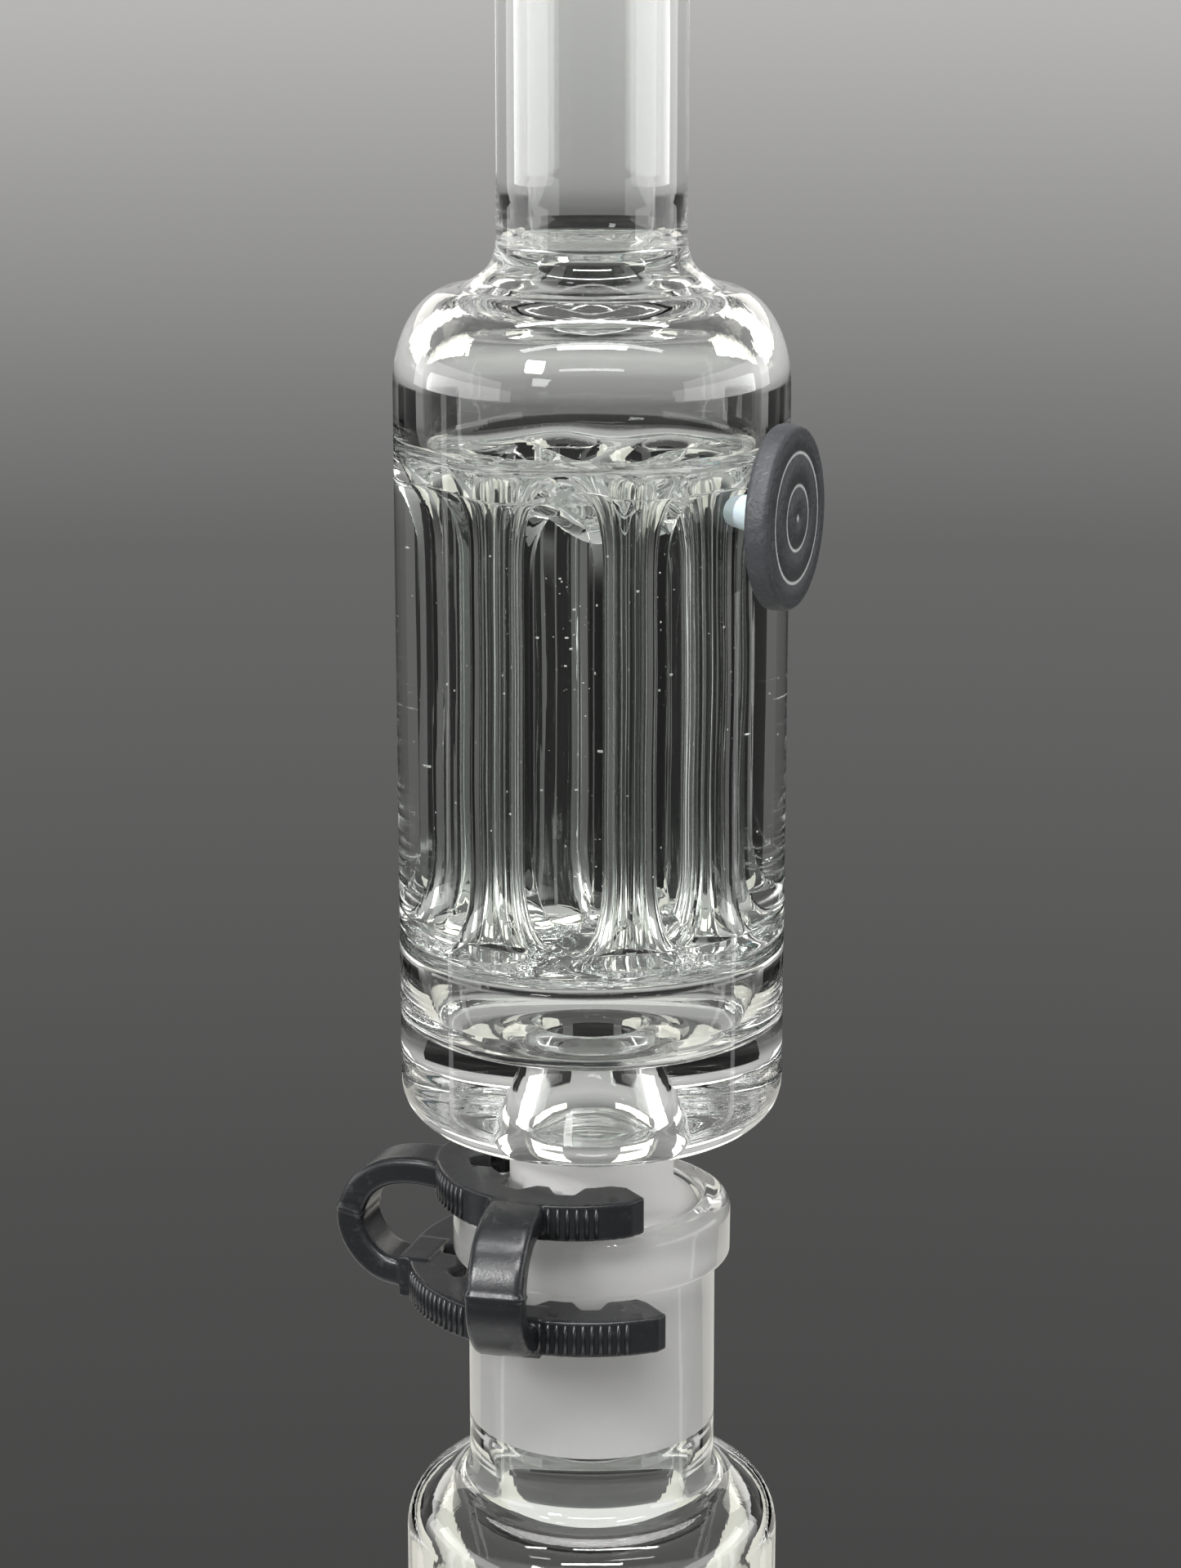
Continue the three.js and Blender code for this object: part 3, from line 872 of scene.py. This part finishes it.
def add_strap(shape, side):
    """A bow from the upper jaw out and down to a block on the lower one, with a moulding seam halfway."""
    upper_z = top("clip_upper_jaw")
    lower_z = bottom("clip_lower_jaw")
    reach = 35.2 * MM
    thick = 3.9 * MM
    path = smooth_line(
        [
            (16.8 * MM, upper_z - 2.4 * MM),
            (20.5 * MM, upper_z - 2.1 * MM),
            (24.5 * MM, upper_z - 2.0 * MM),
            (28.4 * MM, upper_z - 2.8 * MM),
            (31.6 * MM, upper_z - 5.3 * MM),
            (reach - thick / 2, upper_z - 9.5 * MM),
            (32.2 * MM, lower_z + 6.2 * MM),
            (29.2 * MM, lower_z + 3.2 * MM),
            (25.4 * MM, lower_z + 2.3 * MM),
            (22.0 * MM, lower_z + 2.4 * MM),
        ],
        10,
    )
    rings = []
    place = strap_place(side)
    seam = len(path) * 53 // 100
    for i, (r, z) in enumerate(path):
        before = path[max(i - 1, 0)]
        after = path[min(i + 1, len(path) - 1)]
        along = Vector((after[0] - before[0], after[1] - before[1])).normalized()
        out = Vector((-along.y, along.x))
        t = i / (len(path) - 1)
        root = max(1 - t * 6, 0)
        width = (7.6 + 2.6 * root**2) * MM
        flash = 0.5 * MM if i == seam else 0
        section = strap_section(width + flash, thick * (1 + 0.2 * root**2) + flash, 0.9 * MM)
        rings.append([place @ Vector((-(r + out.x * x), y, z + out.y * x)) for x, y in section])
    shape.strip(rings)
    for ring in (rings[0], rings[-1]):
        shape.faces(ring, [list(range(len(ring)))])
    block = [(-25.8 * MM, -4.2 * MM), (-25.8 * MM, 4.2 * MM), (-21.5 * MM, 4.2 * MM), (-21.5 * MM, -4.2 * MM)]
    corners = [place @ Vector((x, y, 0)) for x, y in block]
    add_prism(shape, [(p.x, p.y) for p in corners], lower_z - 0.6 * MM, top("clip_lower_jaw") + 0.2 * MM)


def moulded(shape, name, voxel, rounds):
    """Melts overlapping solids into one moulding with soft edges."""
    bmesh.ops.remove_doubles(shape.mesh, verts=shape.mesh.verts, dist=1e-6)
    bmesh.ops.recalc_face_normals(shape.mesh, faces=shape.mesh.faces)
    data = bpy.data.meshes.new(name)
    shape.mesh.to_mesh(data)
    shape.mesh.free()
    made = bpy.data.objects.new(name, data)
    bpy.context.scene.collection.objects.link(made)
    melt = made.modifiers.new("melt", "REMESH")
    melt.mode = "VOXEL"
    melt.voxel_size = voxel
    soften = made.modifiers.new("soften", "SMOOTH")
    soften.factor = 0.5
    soften.iterations = rounds
    return baked(made, name)


def baked(made, name):
    """The object's evaluated mesh, as plain data. The object is removed."""
    evaluated = made.evaluated_get(bpy.context.evaluated_depsgraph_get())
    data = bpy.data.meshes.new_from_object(evaluated)
    data.name = name
    bpy.data.objects.remove(made)
    return data


def clip_moulding(material):
    """The whole clip as one moulding: two notched jaws and two bowed straps."""
    shape = Shape()
    for node, jaw in JAWS.items():
        add_prism(shape, jaw_outline(**jaw), bottom(node), top(node))
    for side in (1, -1):
        add_strap(shape, side)
    data = moulded(shape, "clip_moulding", 0.26 * MM, 3)
    data.transform(Matrix.Rotation(CLIP_TURN, 4, "Z"))
    nodes = ["clip_upper_jaw", "clip_lower_jaw", "clip_front_strap", "clip_rear_strap"]
    return finished(data, "clip_moulding", [material], "joint_clip", nodes)


# ------------------------------------------------------------------ repeated pieces, by geometry nodes
def node_tree(name, inputs):
    """A geometry node tree with named inputs, given as name: (socket type, default)."""
    tree = bpy.data.node_groups.new(name, "GeometryNodeTree")
    for label, (kind, default) in inputs.items():
        socket = tree.interface.new_socket(label, in_out="INPUT", socket_type=kind)
        socket.default_value = default
    tree.interface.new_socket("Geometry", in_out="OUTPUT", socket_type="NodeSocketGeometry")
    nodes = Nodes(tree)
    values = dict(zip(inputs, nodes.node("NodeGroupInput")))
    return nodes, values


def finish_tree(nodes, instances, material):
    """Realises the instances, sets their material, and sends them to the tree's output."""
    plain = nodes.node("GeometryNodeRealizeInstances", None, {0: instances})[0]
    coloured = nodes.node("GeometryNodeSetMaterial", None, {"Geometry": plain, "Material": material})[0]
    nodes.node("NodeGroupOutput", None, {0: coloured})
    return nodes.tree


def generated(tree, name, values):
    """Runs a tree with these input values and returns the mesh that it makes."""
    made = bpy.data.objects.new(name, bpy.data.meshes.new(name))
    modifier = made.modifiers.new("nodes", "NODES")
    modifier.node_group = tree
    for item in tree.interface.items_tree:
        if item.in_out == "INPUT" and item.name in values:
            modifier[item.identifier] = values[item.name]
    bpy.context.scene.collection.objects.link(made)
    return baked(made, name)


def rib_tree(material):
    """Upright ribs along an arc."""
    inputs = {
        "Radius": ("NodeSocketFloat", 0.02),
        "Start": ("NodeSocketFloat", 0.0),
        "Sweep": ("NodeSocketFloat", 1.0),
        "Count": ("NodeSocketInt", 10),
        "Height": ("NodeSocketFloat", 0.004),
        "Thickness": ("NodeSocketFloat", 0.0003),
    }
    nodes, values = node_tree("grip_ribs", inputs)
    settings = {"mode": "RADIUS"}
    sockets = {
        "Resolution": values["Count"],
        "Radius": values["Radius"],
        "Start Angle": values["Start"],
        "Sweep Angle": values["Sweep"],
    }
    path = nodes.node("GeometryNodeCurveArc", settings, sockets)[0]
    points = nodes.node("GeometryNodeCurveToPoints", {"mode": "EVALUATED"}, {0: path})[0]
    rib = nodes.node(
        "GeometryNodeMeshCylinder",
        None,
        {"Vertices": 10, "Radius": values["Thickness"], "Depth": values["Height"], "Side Segments": 2},
    )[0]
    placed = nodes.node("GeometryNodeInstanceOnPoints", None, {"Points": points, "Instance": rib})[0]
    return finish_tree(nodes, placed, material)


def joined(parts, name):
    """One mesh of several, each moved by its own matrix."""
    mesh = bmesh.new()
    for data, place in parts:
        data.transform(place)
        mesh.from_mesh(data)
    made = bpy.data.meshes.new(name)
    mesh.to_mesh(made)
    mesh.free()
    return made


def clip_ribs(material):
    """Fine grip ribs on the jaws' outer edges, in groups between the straps and the tips."""
    tree = rib_tree(material)
    pitch = 1.1 * MM
    parts = []
    for node, jaw in JAWS.items():
        low, high = bottom(node), top(node)
        for start, end in jaw["ribs"]:
            sweep = math.radians(end - start)
            values = {
                "Radius": jaw["outer"] + 0.02 * MM,
                "Start": math.radians(start),
                "Sweep": sweep,
                "Count": int(sweep * jaw["outer"] / pitch) + 1,
                "Height": (high - low) * 0.84,
                "Thickness": 0.3 * MM,
            }
            data = generated(tree, "ribs", values)
            shift = Matrix.Translation((-jaw["shift"], 0, (low + high) / 2))
            parts.append((data, Matrix.Rotation(CLIP_TURN, 4, "Z") @ shift))
    data = joined(parts, "clip_ribs")
    return finished(data, "clip_ribs", [material], "joint_clip")


def bubble_tree(material):
    """Small round bubbles scattered between two radii and two heights."""
    inputs = {
        "Count": ("NodeSocketInt", 100),
        "Inner": ("NodeSocketFloat", 0.0),
        "Outer": ("NodeSocketFloat", 0.02),
        "Bottom": ("NodeSocketFloat", 0.0),
        "Top": ("NodeSocketFloat", 0.1),
        "Smallest": ("NodeSocketFloat", 0.00005),
        "Largest": ("NodeSocketFloat", 0.0002),
        "Seed": ("NodeSocketInt", 0),
    }
    nodes, values = node_tree("bubbles", inputs)
    draws = iter(range(100))

    def random(low, high):
        sockets = {2: low, 3: high, 8: values["Seed"] * 10 + next(draws)}
        return nodes.node("FunctionNodeRandomValue", {"data_type": "FLOAT"}, sockets)[1]

    share = random(0.0, 1.0)
    inner, outer = values["Inner"], values["Outer"]
    r = (inner * inner + share * (outer * outer - inner * inner)).root()
    turn = random(0.0, math.tau)
    z = random(values["Bottom"], values["Top"])
    size = values["Smallest"] + (values["Largest"] - values["Smallest"]) * random(0.0, 1.0).power(3)
    spot = nodes.node("ShaderNodeCombineXYZ", None, {0: r * turn.cosine(), 1: r * turn.sine(), 2: z})[0]
    points = nodes.node("GeometryNodePoints", None, {"Count": values["Count"], "Position": spot})[0]
    ball = nodes.node("GeometryNodeMeshIcoSphere", None, {"Radius": 1.0, "Subdivisions": 2})[0]
    sockets = {"Points": points, "Instance": ball, "Scale": size}
    placed = nodes.node("GeometryNodeInstanceOnPoints", None, sockets)[0]
    return finish_tree(nodes, placed, material)


def bubbles(material):
    """Bubbles in the coolant, between and round the tubes, and seeds in the jacket's glass."""
    tree = bubble_tree(material)
    low = LOWER_SHEET_Z + 7 * MM
    high = UPPER_SHEET_Z - 9 * MM
    groups = (
        # count, inner and outer radius, smallest and largest bubble, seed
        (70, 0.0, 7 * MM, 0.05 * MM, 0.22 * MM, 3),
        (240, 16.8 * MM, 21.5 * MM, 0.04 * MM, 0.2 * MM, 8),
        (150, 22.4 * MM, 25.6 * MM, 0.02 * MM, 0.07 * MM, 5),
    )
    labels = ("Count", "Inner", "Outer", "Smallest", "Largest", "Seed")
    still = Matrix.Identity(4)
    parts = []
    for group in groups:
        values = {**dict(zip(labels, group)), "Bottom": low, "Top": high}
        parts.append((generated(tree, "bubbles", values), still))
    data = joined(parts, "bubbles")
    return finished(data, "bubbles", [material], "condenser")


# ------------------------------------------------------------------ slate
def slate():
    """Dark stone, worn pale at its rim, with chalky engraved lines."""
    shader = Shader("slate", IOR=1.5)
    place = disc_place().inverted()
    turn = place.to_euler()
    local = shader.place(rotation=tuple(turn), location=tuple(place.translation))
    x, y, z = shader.split(local)
    r = (x * x + y * y).root()
    cloud = shader.noise(local, 260, 5, 0.65)
    layers = shader.noise(shader.place(scale=(1, 1, 5)), 420, 4)
    base = shader.mix(cloud, (0.009, 0.0105, 0.0125), (0.028, 0.031, 0.036))
    base = shader.mix(layers.smoothed(0.55, 0.8) * 0.5, base, (0.012, 0.013, 0.015))
    worn = (r + shader.noise(local, 900, 3) * 0.9 * MM).smoothed(DISC_R * 0.97, DISC_R * 1.03)
    base = shader.mix(worn * 0.25, base, (0.10, 0.106, 0.113))
    grazed = shader.place(scale=(1, 9, 1), rotation=(0.3, 0.9, 0.4))
    scratches = shader.noise(grazed, 500, 2).smoothed(0.66, 0.7)
    base = shader.mix(scratches * 0.45, base, (0.16, 0.17, 0.18))
    line = RING_HALF + 0.04 * MM
    engraved = r.near(RING_RADII[0], line).larger(r.near(RING_RADII[1], line))
    engraved = engraved.larger(r.near(0.0, 0.7 * MM)) * z.smoothed(0.5 * MM, 1 * MM)
    chalk = shader.mix(cloud, (0.42, 0.43, 0.44), (0.62, 0.63, 0.63))
    shader.set("Base Color", shader.mix(engraved, base, chalk))
    shader.set("Roughness", 0.42 + cloud * 0.25 + engraved * 0.2)
    shader.bump(cloud + shader.noise(local, 1500, 3) * 0.5, 0.3 * MM, 0.8)
    return shader.material


# ------------------------------------------------------------------ floor, light and camera
def floor():
    """A plain pale round table that the column stands on."""
    shader = Shader("pale_floor", Roughness=0.7)
    cloud = shader.noise(shader.place(), 12, 3)
    shader.set("Base Color", shader.mix(cloud, (0.62, 0.62, 0.61), (0.66, 0.66, 0.65)))
    shape = Shape()
    radius = 138 * MM
    edge = 4 * MM
    drop = -12 * MM
    rim = arc(radius - edge, -edge, edge, edge, 90, 0, 6)
    profile = [(0, 0), (radius - edge, 0), *rim, (radius, drop), (0, drop)]
    shape.turned(profile, sides=128)
    bmesh.ops.remove_doubles(shape.mesh, verts=shape.mesh.verts, dist=1e-6)
    bmesh.ops.recalc_face_normals(shape.mesh, faces=shape.mesh.faces)
    data = bpy.data.meshes.new("floor")
    shape.mesh.to_mesh(data)
    shape.mesh.free()
    data.materials.append(shader.material)
    made = bpy.data.objects.new("floor", data)
    bpy.context.scene.collection.objects.link(made)


def surroundings():
    """A studio sweep that fades from pale at eye level to dark below."""
    world = bpy.data.worlds.new("studio")
    world.use_nodes = True
    bpy.context.scene.world = world
    nodes = Nodes(world.node_tree)
    direction = nodes.node("ShaderNodeTexCoord")[0]
    z = nodes.split(direction)[2]
    below = ((-1.0, 0.55), (-0.62, 0.40), (-0.50, 0.062), (-0.447, 0.062), (-0.347, 0.078), (-0.240, 0.113))
    across = ((-0.170, 0.138), (-0.130, 0.205), (-0.0755, 0.325), (-0.0215, 0.470), (0.10, 0.58))
    above = ((0.35, 0.30), (0.6, 0.16), (1.0, 0.12))
    levels = (*below, *across, *above)  # the height of a direction, and how bright it is
    stops = [((level + 1) / 2, (grey * 1.01, grey, grey * 0.99)) for level, grey in levels]
    colour = nodes.node("ShaderNodeValToRGB", {"stops": stops}, {0: (z + 1) * 0.5})[0]
    background = world.node_tree.nodes["Background"]
    nodes.feed(background.inputs["Color"], colour)


def soft_light(name, place, target, width, height, brightness, colour=(1, 1, 1)):
    """A rectangular light, hidden from the camera. Brightness is that of its surface, where white is 1."""
    light = bpy.data.lights.new(name, "AREA")
    light.shape = "RECTANGLE"
    light.size = width
    light.size_y = height
    light.energy = brightness * math.pi * width * height
    light.color = colour
    made = bpy.data.objects.new(name, light)
    made.location = place
    made.rotation_euler = (Vector(target) - Vector(place)).to_track_quat("-Z", "Y").to_euler()
    made.visible_camera = False
    bpy.context.scene.collection.objects.link(made)


def dark_card(name, start, end, fade, high):
    """A curved dark card behind the column, fading out at its top. It is only seen in the glass."""
    distance = 0.9
    low = -0.155
    shader = Shader(name, Roughness=1.0, Specular_IOR_Level=0.0)
    where = shader.place()
    cloud = shader.noise(where, 3, 2)
    shader.set("Base Color", shader.mix(cloud, (0.006, 0.006, 0.006), (0.010, 0.010, 0.010)))
    shader.set("Alpha", 1 - shader.split(where)[2].smoothed(fade, high))
    shape = Shape()
    count = 24
    turns = [math.radians(90 - (start + (end - start) * i / count)) for i in range(count + 1)]
    points = [polar(distance, turn, z) for z in (low, high) for turn in turns]
    faces = [[i, i + 1, i + count + 2, i + count + 1] for i in range(count)]
    shape.faces(points, faces)
    data = bpy.data.meshes.new(name)
    shape.mesh.to_mesh(data)
    shape.mesh.free()
    data.materials.append(shader.material)
    made = bpy.data.objects.new(name, data)
    for ray in ("visible_camera", "visible_diffuse", "visible_shadow"):
        setattr(made, ray, False)
    bpy.context.scene.collection.objects.link(made)


def lighting():
    """Panels at the sides and behind, strips and a key light above, and dark cards that edge the glass."""
    middle = (0, 0, 0.19)
    foot = (0, 0, -0.1)
    cream = (1, 0.97, 0.88)
    pale_yellow = (1, 0.98, 0.88)
    for side, name in ((-1, "left"), (1, "right")):
        window = Vector((side * 0.8, -0.05, 0.31))
        soft_light(f"{name}_window", window, (0, window.y, window.z), 1.1, 0.22, 2.4)
        strip = Vector((side * 0.75, 0.02, -0.1))
        soft_light(f"{name}_strip", strip, (0, strip.y, strip.z), 0.05, 0.6, 1.8)
        soft_light(f"{name}_back", (side * 0.42, 0.85, 0.52), middle, 0.5, 0.22, 2.0, cream)
        soft_light(f"{name}_table", (side * 0.48, 0.76, -0.36), foot, 0.65, 0.36, 0.7, pale_yellow)
    soft_light("front_strip", (0, -0.55, 0.80), middle, 0.5, 0.05, 75)
    soft_light("top_strip", (0, -0.10, 0.90), middle, 0.8, 0.06, 30)
    soft_light("key", (-0.45, -0.65, 0.60), middle, 0.16, 0.16, 55)
    dark_card("dark_card_left", -44, -13, 0.145, 0.165)
    dark_card("dark_card_right", 13, 44, 0.145, 0.165)
    dark_card("dark_card_middle", -7, 9, 0.045, 0.075)


def camera():
    """Stands in front of the column, a little above its shoulder, looking down."""
    data = bpy.data.cameras.new("camera")
    data.lens = 80.05
    data.sensor_width = 36
    looks_down = 13.9
    made = bpy.data.objects.new("camera", data)
    made.location = (-0.00017, -0.4539, UPPER_SHEET_Z + 67.8 * MM)
    made.rotation_euler = (math.radians(90 - looks_down), 0, 0)
    bpy.context.scene.collection.objects.link(made)
    bpy.context.scene.camera = made


# ------------------------------------------------------------------ the whole
def build():
    camera()
    surroundings()
    lighting()
    floor()
    clear = clear_glass()
    ground = ground_glass()
    plastic = black_plastic()
    condenser_glass(clear, ground)
    coolant(inner_medium("coolant_liquid", 0.966, (0.985, 0.992, 0.988)))
    bubbles(inner_medium("bubble_skin", 0.69, (1.0, 1.0, 1.0)))
    receiver_glass(clear, ground)
    fill_plug(pale_silicone())
    cap_disc(slate())
    clip_moulding(plastic)
    clip_ribs(plastic)
    scene = bpy.context.scene
    scene.view_settings.view_transform = "Standard"
    bounces = 24  # enough for light to find its way through and round the glass
    scene.cycles.max_bounces = bounces
    scene.cycles.transmission_bounces = bounces
    scene.cycles.glossy_bounces = bounces


build()
